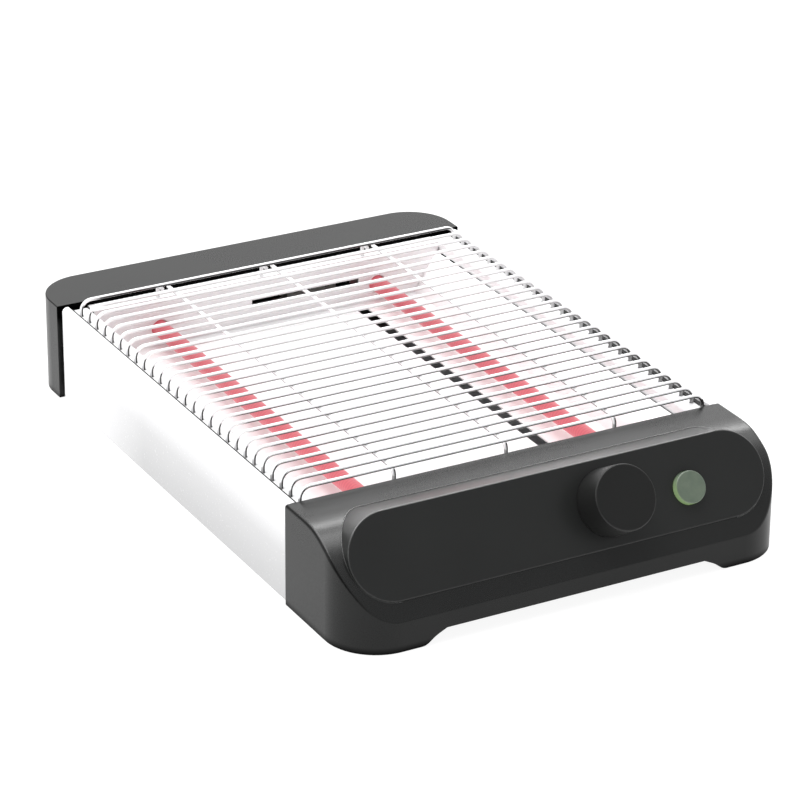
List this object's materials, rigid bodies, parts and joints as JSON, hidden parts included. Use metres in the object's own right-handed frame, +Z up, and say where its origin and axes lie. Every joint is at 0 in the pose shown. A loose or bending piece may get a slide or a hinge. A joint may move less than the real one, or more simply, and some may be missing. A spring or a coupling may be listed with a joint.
{
  "type": "flat toaster",
  "caption": "Low flat toaster with an open wire rack over two glowing quartz tubes, black end caps, a rotary timer knob and a lit push button on a raised sloping panel.",
  "frame": {"origin": "bottom centre of the object's box, on the surface that it stands on", "axes": "+X to the right seen from the control panel, +Y from the control panel to the rear, +Z up"},
  "size_m": [0.26, 0.404, 0.0702],
  "materials": {
    "black_plastic": "satin moulded",
    "panel_plastic": "satin moulded",
    "knob_plastic": "satin moulded",
    "steel": "plain zinc-coated",
    "grey_plastic": "moulded",
    "green_lens": "translucent",
    "lamp_glass": "clear",
    "rubber": "matt",
    "white_metal": "white gloss",
    "bright_sheet": "bright",
    "reflector": "polished",
    "quartz": "frosted",
    "glowing_coil": "glowing",
    "ceramic": "unglazed",
    "chrome_wire": "bright",
    "tray_sheet": "mill finish",
    "brass": "plain",
    "lead_cover": "glass-fibre sleeve"
  },
  "bodies": {
    "housing": {"front_cap": "black_plastic", "rear_cap": "black_plastic", "control_panel": "panel_plastic", "timer_body": "grey_plastic", "timer_bracket": "steel", "switch_body": "grey_plastic", "pilot_lamp": "lamp_glass", "cord_inlet_bush": "rubber", "rubber_feet": "rubber", "left_side_panel": "white_metal", "right_side_panel": "white_metal", "left_rim_strip": "rubber", "right_rim_strip": "rubber", "base_plate": "steel", "base_screws": "steel", "front_bulkhead": "bright_sheet", "rear_bulkhead": "bright_sheet", "reflector_tray": "reflector", "quartz_tube_left": "quartz", "quartz_tube_right": "quartz", "heating_coil_left": "glowing_coil", "heating_coil_right": "glowing_coil", "tube_end_caps": "ceramic", "tube_holders": "steel", "rack_cross_wires": "chrome_wire", "rack_border_wire": "chrome_wire", "rack_long_wires": "chrome_wire", "rack_rear_legs": "chrome_wire", "terminal_block": "ceramic", "terminal_screws": "brass", "lead_wires": "lead_cover", "thermal_cutout": "steel", "holder_rivets": "steel"},
    "knob": {"timer_knob": "knob_plastic", "timer_shaft": "steel"},
    "button": {"switch_button": "green_lens"},
    "tray": {"crumb_tray": "tray_sheet", "crumb_tray_front": "black_plastic"}
  },
  "joints": [
    {"name": "timer_turn", "type": "hinge", "parent": "housing", "child": "knob", "pos_m": [0.027, -0.17644, 0.04542], "axis": [0, 0.8526, -0.5225], "range_deg": [0, 270]},
    {"name": "button_press", "type": "slide", "parent": "housing", "child": "button", "axis": [0, 0.8526, -0.5225], "range_m": [0, 0.002], "stiffness_N_per_m": 500, "springref_m": -0.001},
    {"name": "tray_slide", "type": "slide", "parent": "housing", "child": "tray", "axis": [0, 1, 0], "range_m": [0, 0.2]}
  ]
}
